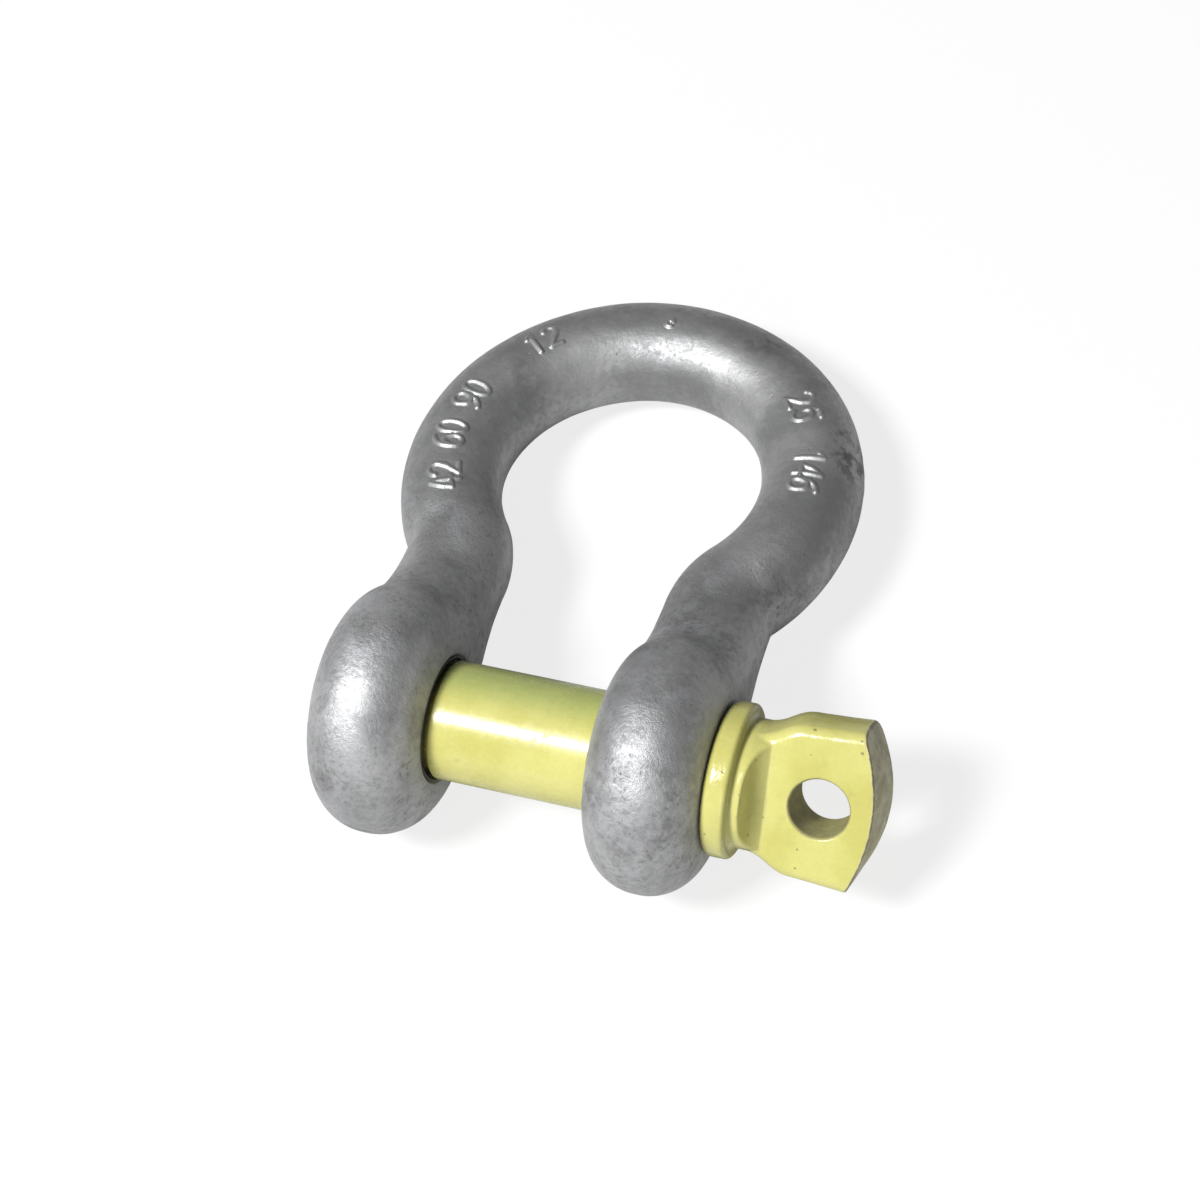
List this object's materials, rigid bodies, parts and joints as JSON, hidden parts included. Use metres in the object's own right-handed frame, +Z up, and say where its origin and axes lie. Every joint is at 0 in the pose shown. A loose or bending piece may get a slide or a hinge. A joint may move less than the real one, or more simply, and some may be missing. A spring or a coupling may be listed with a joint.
{
  "type": "bow shackle",
  "caption": "Galvanised steel bow shackle lying flat: a forged bow with round eyes, and a yellow screw pin with a collar and a flat head that has a cross hole.",
  "frame": {"origin": "on the pin's axis, midway between the two eyes", "axes": "+X along the pin towards its head, +Y towards the crown of the bow, +Z up from the ground on which the shackle lies"},
  "size_m": [0.2137, 0.2482, 0.09],
  "materials": {
    "galvanised_steel": "hot-dip galvanised, mottled satin grey",
    "yellow_paint": "pale yellow paint, semi-gloss"
  },
  "bodies": {
    "bow": {"bow": "galvanised_steel"},
    "screw_pin": {"screw_pin": "yellow_paint"}
  },
  "joints": [
    {"name": "screw_pin_withdraw", "type": "slide", "parent": "bow", "child": "screw_pin", "axis": [1, 0, 0], "range_m": [0, 0.15]}
  ]
}
